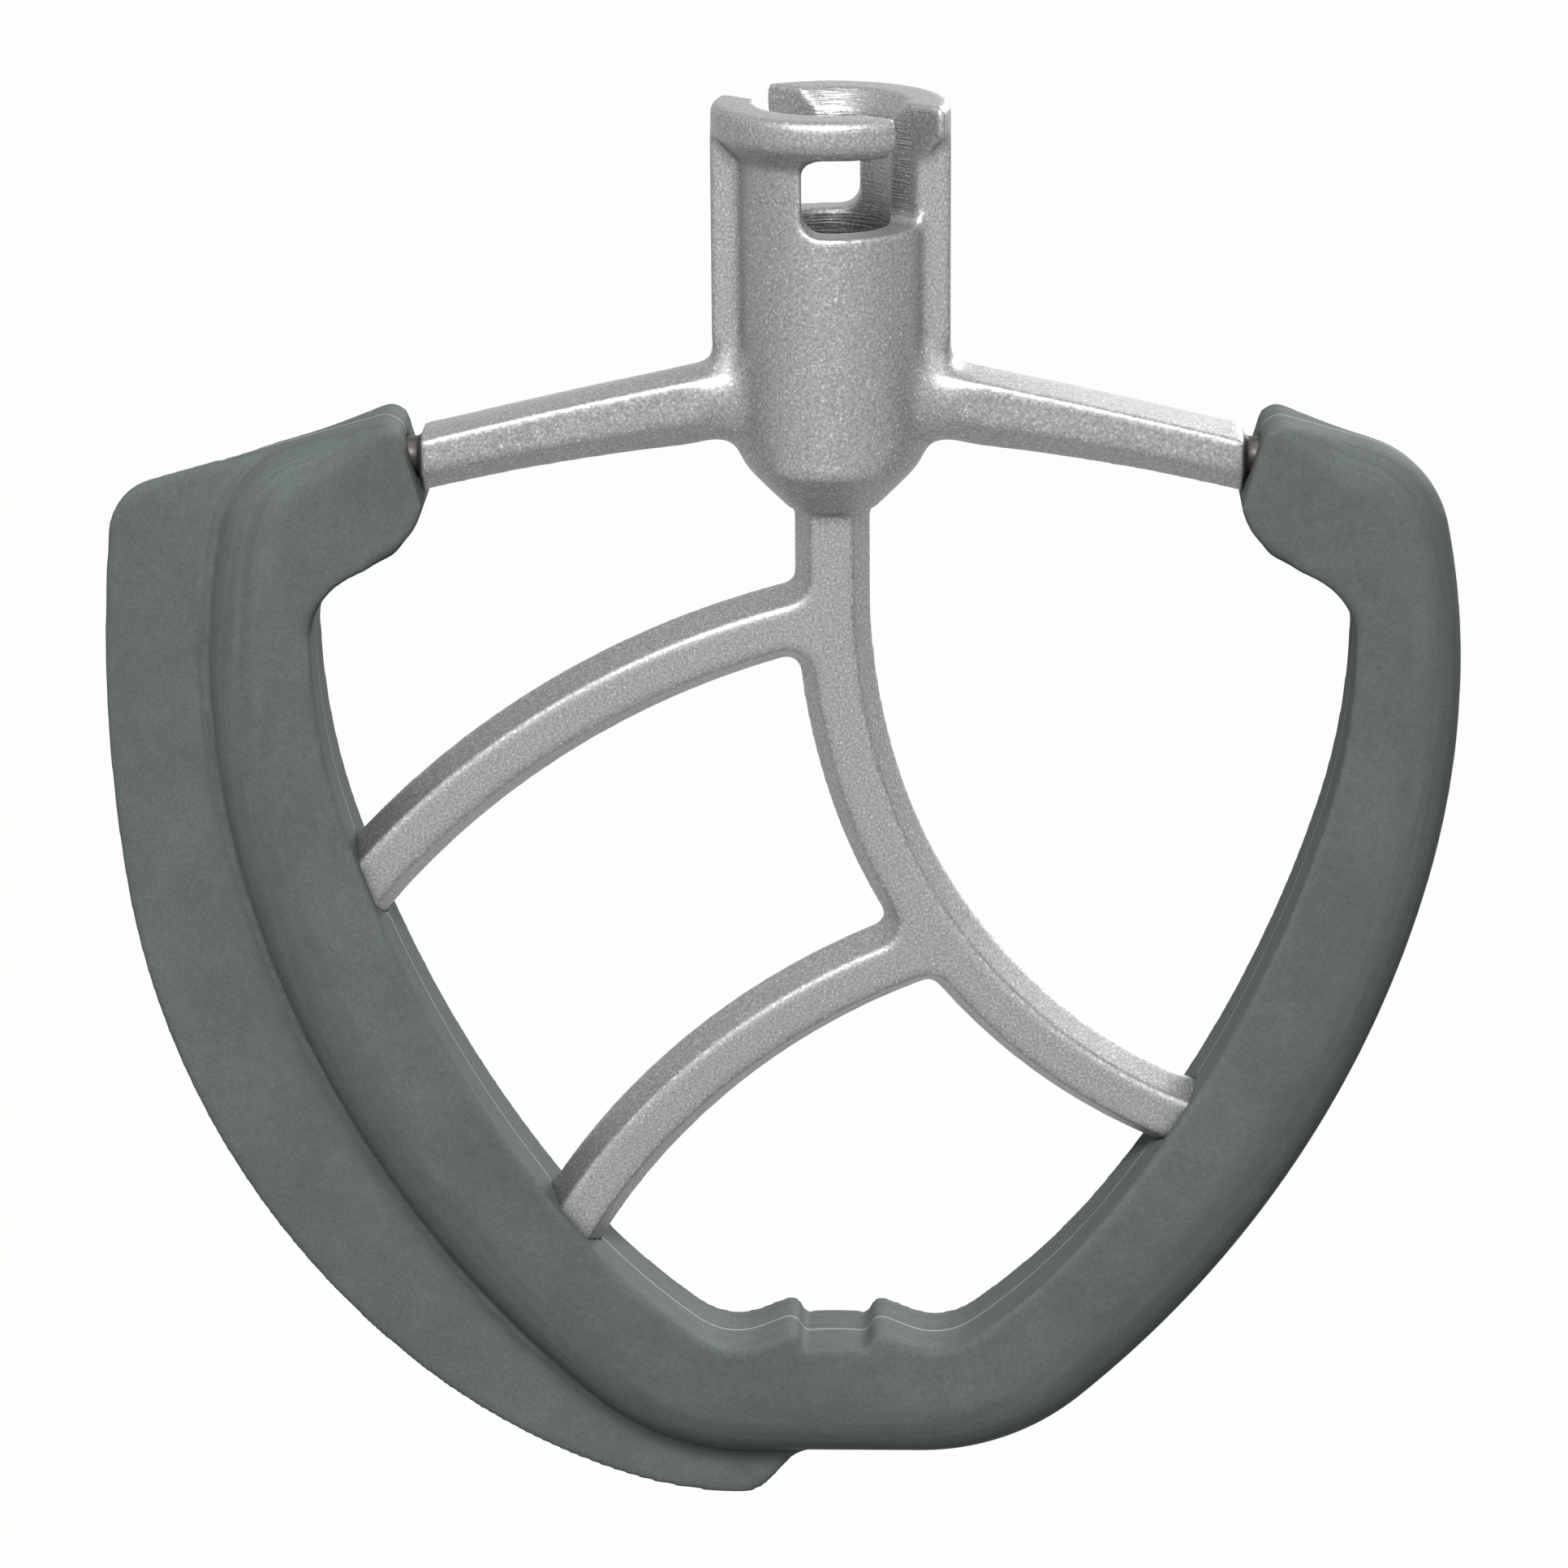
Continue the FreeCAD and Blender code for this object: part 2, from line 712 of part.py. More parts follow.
round_segs = outside_chain() + shoulder()
bottom_level = outside_chain()[0][0].y
end_base, end_run = rim_end()
top_line = [[round_segs[-1][2], end_base]]
edges = []
for i, e in enumerate(tube_body.Shape.Edges):
    if not face_edge(e):
        continue
    m = middle(e)
    q = Vector(abs(m.x), m.z, 0)
    if near(m, round_segs) or abs(m.z - bottom_level) < 0.01:
        edges.append((i + 1, S["outer_round"], S["outer_round"]))
    elif near(m, top_line):
        # the rounding dies out along the top line, towards the neck
        pair = (S["outer_round"], S["end_edge"])
        outer_first = abs(e.Vertexes[0].Point.x) > abs(e.Vertexes[-1].Point.x)
        edges.append((i + 1,) + (pair if outer_first else pair[::-1]))
    elif near(m, end_run[:2]):
        edges.append((i + 1, S["end_edge"], S["end_edge"]))
rounded = doc.addObject("Part::Fillet", "outer_rounding")
rounded.Base = tube_body
rounded.Edges = edges
doc.recompute()


# The fin: a thin plate along the left side, from the top line round to a tail
# under the bottom. It is drawn on the right and mirrored to the left.

def fin_outline():
    r1 = S["fin_radius_a"]
    r2 = S["fin_radius_b"]
    r3 = S["fin_radius_c"]
    r4 = S["fin_radius_d"]
    t1 = S["fin_turn_a"]
    t2 = t1 + S["fin_turn_b"]
    t3 = t2 + S["fin_turn_c"]
    c1 = Vector(S["fin_outside"] - r1, -S["fin_level"], 0)
    c2 = c1 + polar(-t1) * (r1 - r2)
    c3 = c2 + polar(-t2) * (r2 - r3)
    c4 = c3 + polar(-t3) * (r3 - r4)
    cc, a0, a1 = top_line_corner(c1, r1, S["fin_corner"])
    segs = [arc(cc, S["fin_corner"], a1, a0), arc(c1, r1, a0, -t1)]
    segs += [arc(c2, r2, -t1, -t2), arc(c3, r3, -t2, -t3)]
    rt = S["fin_tail_radius"]
    ct_y = c4.y - math.sqrt((r4 - rt) ** 2 - (S["fin_tail_x"] - c4.x) ** 2)
    ct = Vector(S["fin_tail_x"], ct_y, 0)
    a4 = math.degrees(math.atan2(ct.y - c4.y, ct.x - c4.x))
    slope = S["fin_tail_slope"]
    segs.append(arc(c4, r4, -t3, a4))
    segs.append(arc(ct, rt, a4, -90 - slope))
    # straight up to the bend that runs out along the tube's bottom
    bottom = outside_chain()[0][0].y + S["fin_sink"]
    rb_ = S["fin_tail_bend"]
    up = polar(180 - slope)
    tail_end = segs[-1][2]
    touch_y = bottom - rb_ + rb_ * math.cos(math.radians(slope))
    touch = tail_end + up * ((touch_y - tail_end.y) / up.y)
    cb_ = Vector(touch.x - rb_ * math.sin(math.radians(slope)), bottom - rb_, 0)
    segs.append([tail_end, touch])
    segs.append(arc(cb_, rb_, 90 - slope, 90))
    # back inside the tube
    depth = S["outer_round"] + 1.0
    back = outside_chain(depth) + shoulder(depth)
    last = back[-1][2]
    top = last + polar(90 - S["top_slope"]) * depth
    end = segs[-1][2]
    segs.append([end, Vector(end.x, end.y + depth, 0)])
    segs.append([segs[-1][1], back[0][0]])
    segs += back
    segs.append([last, top])
    segs.append([top, segs[0][0]])
    return segs


fin_body = new_body("silicone_fin")
fin_sketch = new_sketch(fin_body, "fin_outline", "XZ_Plane")
draw(fin_sketch, flip(fin_outline()))
fin = fin_body.newObject("PartDesign::Pad", "fin")
fin.Profile = fin_sketch
fin.SideType = 2
bind(fin, "Length", "Sizes.fin_thickness")
doc.recompute()

# The fin's root: a concave blend on both faces, swept along the tube's outside
# and trimmed by the fin's own outline. It bites a little into both.
root_body = new_body("fin_root")
spine_segs = outside_chain() + shoulder()
along_top = polar(180 - S["top_slope"])
spine_segs.append([spine_segs[-1][2], spine_segs[-1][2] + along_top * 4.0])
bottom_start = spine_segs[0][0]
spine_segs.insert(0, [Vector(0, bottom_start.y, 0), bottom_start])
spine = new_sketch(root_body, "root_path", "XZ_Plane")
draw(spine, flip(spine_segs))
ro = S["outer_round"]
rr = S["fin_root_radius"]
flat = S["rim_thickness"] / 2.0 - ro
cy = S["fin_thickness"] / 2.0 + rr - S["root_bite"]
cn = math.sqrt((ro + rr - S["root_bite"]) ** 2 - (cy - flat) ** 2) - ro
root_centre = Vector(cy, bottom_start.y - cn, 0)
back_turn = math.degrees(math.atan2(cy - flat, cn + ro))
turn_in = arc(root_centre, rr, 180, 90 + back_turn)
profile = [turn_in, [turn_in[2], Vector(-turn_in[2].x, turn_in[2].y, 0)]] + flip([turn_in])
profile.append([Vector(-turn_in[0].x, turn_in[0].y, 0), turn_in[0]])
root_sketch = new_sketch(root_body, "root_section", "YZ_Plane")
draw(root_sketch, profile)
blend = root_body.newObject("PartDesign::AdditivePipe", "root_blend")
blend.Profile = root_sketch
blend.Spine = (spine, [])
doc.recompute()
trim_body = new_body("fin_trim")
trim_sketch = new_sketch(trim_body, "trim_outline", "XZ_Plane")
draw(trim_sketch, flip(fin_outline()))
trim = trim_body.newObject("PartDesign::Pad", "trim")
trim.Profile = trim_sketch
trim.SideType = 2
bind(trim, "Length", "Sizes.rim_thickness")
trimmed = doc.addObject("Part::MultiCommon", "root_trimmed")
trimmed.Shapes = [root_body, trim_body]
doc.recompute()

joined = doc.addObject("Part::MultiFuse", "tube_and_fin")
joined.Shapes = [rounded, fin_body, trimmed]
joined.Refine = True
doc.recompute()

silicone = doc.addObject("Part::Cut", "silicone_in_place")
silicone.Base = joined
silicone.Tool = cast
doc.recompute()

# The two pieces, raised so that the origin lies in the shaft's bore.
NODES = []
for source, name in ((cast, "cast_frame"), (silicone, "silicone_edge")):
    node = doc.addObject("Part::Refine", name)
    node.Label = name
    node.Source = source
    bind(node, "Placement.Base.z", "Sizes.seat_level")
    NODES.append(node)
doc.recompute()

for obj in doc.Objects:
    if "Invalid" in obj.State or "Error" in obj.State:
        raise SystemExit("%s did not recompute" % obj.Name)
for node in NODES:
    if node.Shape.isNull() or not node.Shape.isValid() or len(node.Shape.Solids) != 1:
        raise SystemExit("%s is not one valid solid" % node.Label)
    print(node.Label, round(node.Shape.Volume), node.Shape.BoundBox)

os.makedirs("parts", exist_ok=True)
for node in NODES:
    node.Shape.exportStep("parts/%s.step" % node.Label)
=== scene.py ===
import math

import bpy
from mathutils import Matrix, Vector
from mathutils.bvhtree import BVHTree


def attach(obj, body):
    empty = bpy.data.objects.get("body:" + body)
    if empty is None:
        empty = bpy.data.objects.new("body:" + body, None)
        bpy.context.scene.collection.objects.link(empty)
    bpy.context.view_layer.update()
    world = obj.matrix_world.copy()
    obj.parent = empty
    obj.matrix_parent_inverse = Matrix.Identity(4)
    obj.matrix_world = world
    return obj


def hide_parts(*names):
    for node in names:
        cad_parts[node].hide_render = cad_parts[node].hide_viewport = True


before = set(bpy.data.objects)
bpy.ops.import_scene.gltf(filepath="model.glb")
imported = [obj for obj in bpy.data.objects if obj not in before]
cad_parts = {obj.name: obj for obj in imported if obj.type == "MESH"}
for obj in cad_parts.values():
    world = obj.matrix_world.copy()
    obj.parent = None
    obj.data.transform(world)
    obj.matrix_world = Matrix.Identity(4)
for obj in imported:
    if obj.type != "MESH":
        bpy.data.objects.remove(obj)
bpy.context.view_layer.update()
scene = bpy.context.scene
scene.view_settings.view_transform = "Standard"

# Camera: in front of the beater and above it, looking down a little and slightly
# to the left. A long lens keeps the rim's two sides alike. It is placed by the
# hub's top, which lies 23 mm above the origin and on a known pixel.
MM = 1000.0
PICTURE = 1932
FOCAL_PIXELS = 6800.0
PIXELS_PER_MM = 11.8
LOOK_DOWN = math.radians(17.6)
SWING = math.radians(1.8)
ROLL = math.radians(0.41)
HUB_TOP_MM = 23.0
HUB_TOP_PIXEL = (1023.3, 124.0)
SENSOR_MM = 36.0

forward = Vector((
    -math.sin(SWING) * math.cos(LOOK_DOWN),
    math.cos(SWING) * math.cos(LOOK_DOWN),
    -math.sin(LOOK_DOWN),
))
level = Vector((math.cos(SWING), math.sin(SWING), 0.0))
upright = level.cross(forward)
right = math.cos(ROLL) * level - math.sin(ROLL) * upright
up = math.sin(ROLL) * level + math.cos(ROLL) * upright
depth = FOCAL_PIXELS / PIXELS_PER_MM / MM
metres_per_pixel = depth / FOCAL_PIXELS
across = (HUB_TOP_PIXEL[0] - PICTURE / 2) * metres_per_pixel
above = (PICTURE / 2 - HUB_TOP_PIXEL[1]) * metres_per_pixel
hub_top = Vector((0.0, 0.0, HUB_TOP_MM / MM))
eye = hub_top - depth * forward - across * right - above * up

camera_data = bpy.data.cameras.new("camera")
camera_data.sensor_fit = "HORIZONTAL"
camera_data.sensor_width = SENSOR_MM
camera_data.lens = FOCAL_PIXELS / PICTURE * SENSOR_MM
camera_data.clip_start = 0.01
camera = bpy.data.objects.new("camera", camera_data)
scene.collection.objects.link(camera)
turn = Matrix((right, up, -forward)).transposed()
camera.matrix_world = Matrix.Translation(eye) @ turn.to_4x4()
scene.camera = camera

# Floor: a wide sheet of white studio paper well below the beater, which hangs
# free by its hub. It is seen as white, and keeps what shadow reaches it.
FLOOR_SIZE = 12.0
FLOOR_BACK = 2.0
FLOOR_DROP = 0.62


def linear(hex_code):
    """The linear colour of an sRGB hex value such as 8A9294."""
    out = []
    for i in (0, 2, 4):
        c = int(hex_code[i:i + 2], 16) / 255.0
        out.append(c / 12.92 if c <= 0.04045 else ((c + 0.055) / 1.055) ** 2.4)
    return (out[0], out[1], out[2], 1.0)


def blank_material(name):
    """A new material with an empty node tree, and that tree."""
    material = bpy.data.materials.new(name)
    material.use_nodes = True
    material.node_tree.nodes.clear()
    return material, material.node_tree


def add(tree, kind, settings=None, links=None):
    """A node with its settings: attributes by name, sockets by name or number.

    Map Range takes its range in sockets 1 and 2 and gives the one in 3 and 4.
    Mix has its numbers in 2 and 3, its vectors in 4 and 5, its colours in 6 and 7.
    """
    node = tree.nodes.new(kind)
    for key, value in (settings or {}).items():
        if isinstance(key, int) or key in node.inputs:
            node.inputs[key].default_value = value
        else:
            setattr(node, key, value)
    for key, source in (links or {}).items():
        tree.links.new(source, node.inputs[key])
    return node


def seen_or_reflected(tree):
    """1 for a ray from the camera, a gloss or a clear surface, otherwise 0."""
    ray = add(tree, "ShaderNodeLightPath")
    either = add(tree, "ShaderNodeMath", {"operation": "MAXIMUM"},
                 {0: ray.outputs["Is Camera Ray"], 1: ray.outputs["Is Glossy Ray"]})
    return add(tree, "ShaderNodeMath", {"operation": "MAXIMUM"},
               {0: either.outputs[0], 1: ray.outputs["Is Transmission Ray"]}).outputs[0]


bpy.ops.object.select_all(action="DESELECT")
bpy.ops.mesh.primitive_plane_add(size=FLOOR_SIZE,
                                 location=(0.0, FLOOR_BACK, -FLOOR_DROP))
floor = bpy.context.object
floor.name = "studio_floor"
paper, tree = blank_material("white_studio_paper")
# A twentieth of what is seen is the lit paper itself, with the shadow on it.
GLOW_SHARE = 0.95
share = add(tree, "ShaderNodeMath", {"operation": "MULTIPLY", 1: GLOW_SHARE},
            {0: seen_or_reflected(tree)})
matt = add(tree, "ShaderNodeBsdfDiffuse", {"Color": linear("F6F6F4")})
glow = add(tree, "ShaderNodeEmission", {"Color": linear("FEFEFC"), "Strength": 1.04})
both = add(tree, "ShaderNodeMixShader", None,
           {0: share.outputs[0], 1: matt.outputs[0], 2: glow.outputs[0]})
add(tree, "ShaderNodeOutputMaterial", None, {"Surface": both.outputs[0]})
floor.data.materials.append(paper)

# Studio light: one soft box with a honeycomb high in front, one behind for the
# back, and weak ones on the left and the right. The room itself gives little
# light and is seen as white walls.
AIM = Vector((0.0, 0.0, -0.06))
LIGHTS = [
    # name, place, size, power, honeycomb's spread in degrees
    ("soft_box_high", (-0.1, -0.97, 0.86), 0.45, 2.3, 45.0),
    ("soft_box_behind", (0.65, 0.95, 0.5), 0.4, 1.3, 50.0),
    ("soft_box_left", (-0.9, -0.9, 0.2), 0.4, 0.04, 60.0),
    ("soft_box_right", (0.95, -0.6, 0.4), 0.4, 0.1, 60.0),
]
world = bpy.data.worlds.new("pale_room")
scene.world = world
world.use_nodes = True
tree = world.node_tree
tree.nodes.clear()
unlit = add(tree, "ShaderNodeBackground", {"Color": linear("F4F4F4"), "Strength": 0.05})
wall = add(tree, "ShaderNodeBackground", {"Color": linear("FBFBF9"), "Strength": 1.0})
either = add(tree, "ShaderNodeMixShader", None,
             {0: seen_or_reflected(tree), 1: unlit.outputs[0], 2: wall.outputs[0]})
add(tree, "ShaderNodeOutputWorld", None, {"Surface": either.outputs[0]})
for name, place, size, power, spread in LIGHTS:
    lamp = bpy.data.lights.new(name, "AREA")
    lamp.size = size
    lamp.energy = power
    lamp.spread = math.radians(spread)
    holder = bpy.data.objects.new(name, lamp)
    scene.collection.objects.link(holder)
    facing = (AIM - Vector(place)).to_track_quat("-Z", "Y")
    holder.matrix_world = Matrix.Translation(place) @ facing.to_matrix().to_4x4()

# Cast frame: hub, arms and spokes die-cast in one piece of aluminium, then
# bead-blasted and tumbled, which rounds every edge and leaves a fine sparkle.
# Where the arms leave the hub the casting swells in wide soft fillets.
SAME_POINT = 0.000001
SKIN_STEP = 0.00044
HUB_RADIUS = 9.93
EASED = [
    # group, steps of smoothing, then in mm where it fades: away from the hub's
    # wall, aside from the axis, and at its foot and head, from the hub's top
    ("arm_roots", 90, (1.5, 6.5), (4.5, 8.0), (-42.0, -38.5), (-28.0, -24.5)),
    ("rib_feet", 8, (0.4, 1.6), (8.0, 8.8), (-30.0, -26.0), (-7.5, -5.5)),
]
FAINT = 0.01
FRONT = Vector((0.0, -1.0, 0.0))
FRAME_KEPT = 0.76


def dressed(node, name):
    """A copy of a solid with its own closed mesh, which stands for it."""
    bpy.ops.object.select_all(action="DESELECT")
    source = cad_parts[node]
    piece = bpy.data.objects.new(name, source.data.copy())
    scene.collection.objects.link(piece)
    piece.data.materials.clear()
    bpy.context.view_layer.objects.active = piece
    piece.select_set(True)
    bpy.ops.object.mode_set(mode="EDIT")
    bpy.ops.mesh.select_all(action="SELECT")
    bpy.ops.mesh.remove_doubles(threshold=SAME_POINT)
    bpy.ops.mesh.customdata_custom_splitnormals_clear()
    bpy.ops.object.mode_set(mode="OBJECT")
    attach(piece, "root")
    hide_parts(node)
    return piece


def finish(piece, kind, settings):
    """Adds a modifier to the active piece and applies it."""
    step = piece.modifiers.new(kind.lower(), kind)
    for key, value in settings.items():
        setattr(step, key, value)
    bpy.ops.object.modifier_apply(modifier=step.name)


def smooth(piece, steps, group=""):
    """Smooths the whole piece, or one of its groups."""
    finish(piece, "SMOOTH", {"factor": 0.5, "iterations": steps, "vertex_group": group})


def ramp_up(value, low, high):
    """0 below low, 1 above high and smooth between."""
    t = min(max((value - low) / (high - low), 0.0), 1.0)
    return t * t * (3.0 - 2.0 * t)


beater_frame = dressed("cast_frame", "beater_frame")
finish(beater_frame, "REMESH", {"mode": "VOXEL", "voxel_size": SKIN_STEP})
smooth(beater_frame, 2)
for name, steps, near_wall, aside, foot, head in EASED:
    group = beater_frame.vertex_groups.new(name=name)
    for v in beater_frame.data.vertices:
        x, y, z = (c * MM for c in v.co)
        z -= HUB_TOP_MM
        from_wall = abs(math.hypot(x, y) - HUB_RADIUS)
        weight = (1.0 - ramp_up(from_wall, *near_wall)) * ramp_up(abs(x), *aside)
        weight *= ramp_up(z, *foot) * (1.0 - ramp_up(z, *head))
        if weight > FAINT:
            group.add([v.index], weight, "REPLACE")
for name, steps, *_ in EASED:
    smooth(beater_frame, steps, name)

# What lies inside the silicone is never seen, so it is left coarser.
depsgraph = bpy.context.evaluated_depsgraph_get()
silicone_shape = BVHTree.FromObject(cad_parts["silicone_edge"], depsgraph)
hidden = beater_frame.vertex_groups.new(name="hidden")
for v in beater_frame.data.vertices:
    ahead = silicone_shape.ray_cast(v.co, FRONT)[0]
    if ahead and silicone_shape.ray_cast(v.co, -FRONT)[0]:
        hidden.add([v.index], 1.0, "REPLACE")
finish(beater_frame, "DECIMATE", {"ratio": FRAME_KEPT, "vertex_group": "hidden"})
bpy.ops.object.shade_smooth()

# The blasted grain is about 0.1 mm, drawn three times as coarse so that it shows.
GRAIN_MM = 0.27
cast, tree = blank_material("bead_blasted_cast_aluminium")
place = add(tree, "ShaderNodeTexCoord")
grit = add(tree, "ShaderNodeTexNoise",
           {"Scale": MM / GRAIN_MM, "Detail": 2.0, "Roughness": 0.6},
           {"Vector": place.outputs["Object"]})
tone = add(tree, "ShaderNodeValToRGB", None, {"Fac": grit.outputs["Fac"]})
ramp = tone.color_ramp
ramp.elements[0].position = 0.36
ramp.elements[0].color = linear("858586")
ramp.elements[1].position = 0.66
ramp.elements[1].color = linear("A9A9AA")
# The lightest stop is painted glint: specks of lighter colour stand in for the sparkle
# of the blasted surface, on top of its grain.
painted_glint = ramp.elements.new(0.74)
painted_glint.color = linear("DADADA")
bump = add(tree, "ShaderNodeBump", {"Strength": 0.3, "Distance": 0.00003},
           {"Height": grit.outputs["Fac"]})
axes = add(tree, "ShaderNodeSeparateXYZ", None, {0: place.outputs["Object"]})
# The necks at the arms' ends were shut in the silicone's mould and came out
# darker. Nothing else that is seen lies so far out at that height.
NECK_START_MM, NECK_FADE_MM = 43.6, 0.4
NECK_FOOT_MM = -30.0
aside = add(tree, "ShaderNodeMath", {"operation": "ABSOLUTE"}, {0: axes.outputs["X"]})
neck = add(tree, "ShaderNodeMapRange",
           {1: NECK_START_MM / MM, 2: (NECK_START_MM + NECK_FADE_MM) / MM},
           {0: aside.outputs[0]})
upper = add(tree, "ShaderNodeMath", {"operation": "GREATER_THAN", 1: NECK_FOOT_MM / MM},
            {0: axes.outputs["Z"]})
on_neck = add(tree, "ShaderNodeMath", {"operation": "MULTIPLY"},
              {0: neck.outputs[0], 1: upper.outputs[0]})
neck_stain_and_painted_glints = add(tree, "ShaderNodeMix", {"data_type": "RGBA", 7: linear("504D4B")},
              {0: on_neck.outputs[0], 6: tone.outputs["Color"]})
# The bore and its funnel were turned, which leaves scratches round them.
TURNED_RADIUS_MM = 8.6
TURNED_FOOT_MM = -13.0
SCRATCH_MM = 0.22
flat = add(tree, "ShaderNodeCombineXYZ", None,
           {0: axes.outputs["X"], 1: axes.outputs["Y"]})
from_axis = add(tree, "ShaderNodeVectorMath", {"operation": "LENGTH"},
                {0: flat.outputs[0]})
inside = add(tree, "ShaderNodeMath",
             {"operation": "LESS_THAN", 1: TURNED_RADIUS_MM / MM},
             {0: from_axis.outputs["Value"]})
above_floor = add(tree, "ShaderNodeMath",
                  {"operation": "GREATER_THAN", 1: TURNED_FOOT_MM / MM},
                  {0: axes.outputs["Z"]})
in_bore = add(tree, "ShaderNodeMath", {"operation": "MULTIPLY"},
              {0: inside.outputs[0], 1: above_floor.outputs[0]})
lengthened = add(tree, "ShaderNodeMapping", {"Scale": (0.06, 0.06, 1.0)},
                 {0: place.outputs["Object"]})
scratches = add(tree, "ShaderNodeTexNoise",
                {"Scale": MM / SCRATCH_MM, "Detail": 2.0, "Roughness": 0.7},
                {"Vector": lengthened.outputs[0]})
turned = add(tree, "ShaderNodeMix", {"data_type": "FLOAT"},
             {0: in_bore.outputs[0],
              2: grit.outputs["Fac"], 3: scratches.outputs["Fac"]})
deep = add(tree, "ShaderNodeBump", {"Strength": 1.0, "Distance": 0.00012},
           {"Height": turned.outputs[0], "Normal": bump.outputs["Normal"]})
normal = add(tree, "ShaderNodeMix", {"data_type": "VECTOR"},
             {0: in_bore.outputs[0],
              4: bump.outputs["Normal"], 5: deep.outputs["Normal"]})
metal = add(tree, "ShaderNodeBsdfPrincipled", {"Metallic": 1.0, "Roughness": 0.52},
            {"Base Color": neck_stain_and_painted_glints.outputs[2], "Normal": normal.outputs[1]})
add(tree, "ShaderNodeOutputMaterial", None, {"Surface": metal.outputs[0]})
beater_frame.data.materials.append(cast)

# Silicone edge: a grey food-grade silicone rim and scraper fin moulded over the
# frame. The rim's outer side falls away in a wide soft curve, from which the fin
# grows, and the two mould halves leave a flash line on the middle plane.
SILICONE_STEP = 0.0005
# The rim's outer line, right half, in mm from the hub's top: from its widest
# level down an arc, a flatter one and the bottom's, and up the shoulder's and
# the top corner's, which touches the sloping top line.
RIM_OUTSIDE, RIM_LEVEL = 67.45, -62.6
SIDE_RADIUS, LOWER_RADIUS, BOTTOM_RADIUS = 93.4, 120.0, 27.0
SIDE_TURN, LOWER_TURN = 14.0, 48.8
SHOULDER_RADIUS, CORNER_RADIUS = 82.0, 12.3
TOP_POINT = Vector((47.3, -33.5))
TOP_SLOPE = -15.9
# The outer curve starts on the face and is an ellipse in section.
HALF_THICK = 5.75
CURVE_DEPTH = 5.3
CURVE_WIDTH = 8.2
CURVE_MARGIN = 2.0
THINNEST = 0.9
# The fin's blade starts this far outside the rim's line.
BLADE_START = 3.0
# The corners under each end box, and how far round them the smoothing fades.
CHIN, ARMPIT = Vector((46.3, -49.6)), Vector((54.3, -55.9))
CORNER_FADE = (1.5, 3.5)
# Silicone this close to the frame, in metres, lies on it.
TOUCHING = 0.0004
EDGE_KEPT = 0.8


def heading(angle):
    """The direction at an angle in degrees."""
    return Vector((math.cos(math.radians(angle)), math.sin(math.radians(angle))))


def angle_of(v):
    """The angle of a direction in degrees."""
    return math.degrees(math.atan2(v.y, v.x))


side_centre = Vector((RIM_OUTSIDE - SIDE_RADIUS, RIM_LEVEL))
lower_centre = side_centre + heading(-SIDE_TURN) * (SIDE_RADIUS - LOWER_RADIUS)
bottom_centre = lower_centre + heading(-LOWER_TURN) * (LOWER_RADIUS - BOTTOM_RADIUS)
shoulder_centre = Vector((RIM_OUTSIDE - SHOULDER_RADIUS, RIM_LEVEL))
# The corner's centre slides along the top line until its arc meets the shoulder's.
start = TOP_POINT - heading(TOP_SLOPE + 90.0) * CORNER_RADIUS - shoulder_centre
along = start.dot(heading(TOP_SLOPE))
reach = (SHOULDER_RADIUS - CORNER_RADIUS) ** 2 - start.length_squared
slide = math.sqrt(along ** 2 + reach) - along
corner_centre = shoulder_centre + start + heading(TOP_SLOPE) * slide
corner_start = angle_of(corner_centre - shoulder_centre)
corner_end = TOP_SLOPE + 90.0


def rim_depth(x, z):
    """How far a point lies inside the rim's outer line, and how wide its curve is."""
    p = Vector((abs(x), z))
    if z > RIM_LEVEL:
        if angle_of(p - shoulder_centre) < corner_start:
            return SHOULDER_RADIUS - (p - shoulder_centre).length, CURVE_WIDTH
        turned = angle_of(p - corner_centre)
        if turned > corner_end:
            return None, 0.0
        narrow = ramp_up(turned, corner_start, corner_end)
        width = CURVE_WIDTH + (CURVE_DEPTH - CURVE_WIDTH) * narrow
        return CORNER_RADIUS - (p - corner_centre).length, width
    if angle_of(p - side_centre) > -SIDE_TURN:
        return SIDE_RADIUS - (p - side_centre).length, CURVE_WIDTH
    if angle_of(p - lower_centre) > -LOWER_TURN:
        return LOWER_RADIUS - (p - lower_centre).length, CURVE_WIDTH
    if p.x > bottom_centre.x:
        return BOTTOM_RADIUS - (p - bottom_centre).length, CURVE_WIDTH
    return z - bottom_centre.y + BOTTOM_RADIUS, CURVE_WIDTH


soft_edge = dressed("silicone_edge", "soft_edge")
finish(soft_edge, "REMESH", {"mode": "VOXEL", "voxel_size": SILICONE_STEP})
curve = soft_edge.vertex_groups.new(name="outer_curve")
corners = soft_edge.vertex_groups.new(name="end_corners")
blade = soft_edge.vertex_groups.new(name="fin_blade")
# The outer skin faces away from the middle plane and the core's cavity faces it.
# Every normal is read before a vertex moves, as each move would redo them all.
outer_skin = [v.normal.y * v.co.y > 0.0 for v in soft_edge.data.vertices]
for v in soft_edge.data.vertices:
    x, z = v.co.x * MM, v.co.z * MM - HUB_TOP_MM
    p = Vector((abs(x), z))
    near = min((p - CHIN).length, (p - ARMPIT).length)
    if near < CORNER_FADE[1]:
        corners.add([v.index], 1.0 - ramp_up(near, *CORNER_FADE), "REPLACE")
    depth_in, width = rim_depth(x, z)
    if depth_in is None or depth_in > width + CURVE_MARGIN:
        continue
    if depth_in < -BLADE_START:
        blade.add([v.index], 1.0, "REPLACE")
        continue
    curve.add([v.index], 1.0, "REPLACE")
    if 0.0 < depth_in < width and outer_skin[v.index]:
        rise = math.sqrt(1.0 - ((width - depth_in) / width) ** 2)
        most = max(HALF_THICK - CURVE_DEPTH + CURVE_DEPTH * rise, THINNEST) / MM
        if abs(v.co.y) > most:
            v.co.y = math.copysign(most, v.co.y)
smooth(soft_edge, 3)
